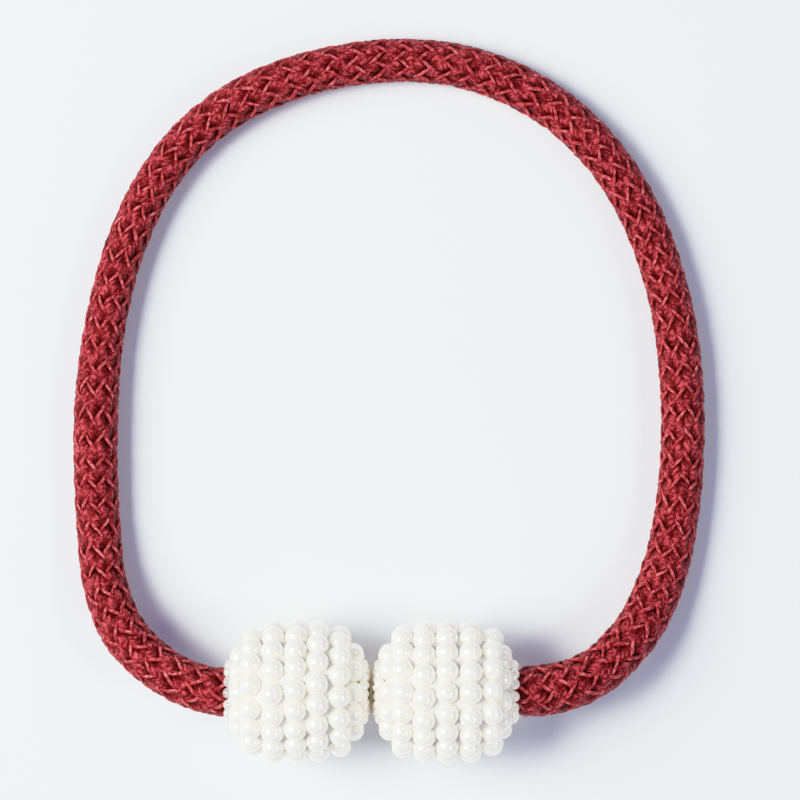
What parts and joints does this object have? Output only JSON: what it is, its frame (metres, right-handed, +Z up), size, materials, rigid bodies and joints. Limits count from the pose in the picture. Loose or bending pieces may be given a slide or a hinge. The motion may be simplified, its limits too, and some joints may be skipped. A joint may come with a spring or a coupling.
{
  "type": "magnetic curtain tieback",
  "caption": "Closed loop of crimson braided rope whose ends enter two beaded pearl balls that a magnet disc in each holds together, lying flat on a surface.",
  "frame": {"origin": "on the surface that the tieback lies on, straight under the middle of the clasp between the two balls", "axes": "+X through both balls to the right one, +Y from the balls across the rope loop, +Z up"},
  "size_m": [0.1323, 0.1513, 0.0301],
  "materials": {
    "rope_fibre": "satin braided polyester yarn, crimson",
    "pearl": "glossy white imitation pearl",
    "clear_bead": "clear beads with a faint rainbow lustre",
    "ball_core": "matte beige core",
    "magnet_metal": "dull gold plated edge"
  },
  "bodies": {
    "root": {"rope": "rope_fibre", "right_core": "ball_core", "right_magnet": "magnet_metal", "right_clasp_beads_inner": "clear_bead", "right_clasp_beads_outer": "clear_bead", "right_pearl_round_1": "pearl", "right_pearl_round_2": "pearl", "right_pearl_round_3": "pearl", "right_pearl_round_4": "pearl", "right_pearl_round_5": "pearl", "right_pearl_round_6": "pearl", "right_pearl_round_7": "pearl", "right_rope_beads": "clear_bead", "left_core": "ball_core", "left_magnet": "magnet_metal", "left_clasp_beads_inner": "clear_bead", "left_clasp_beads_outer": "clear_bead", "left_pearl_round_1": "pearl", "left_pearl_round_2": "pearl", "left_pearl_round_3": "pearl", "left_pearl_round_4": "pearl", "left_pearl_round_5": "pearl", "left_pearl_round_6": "pearl", "left_pearl_round_7": "pearl", "left_rope_beads": "clear_bead"}
  },
  "joints": []
}
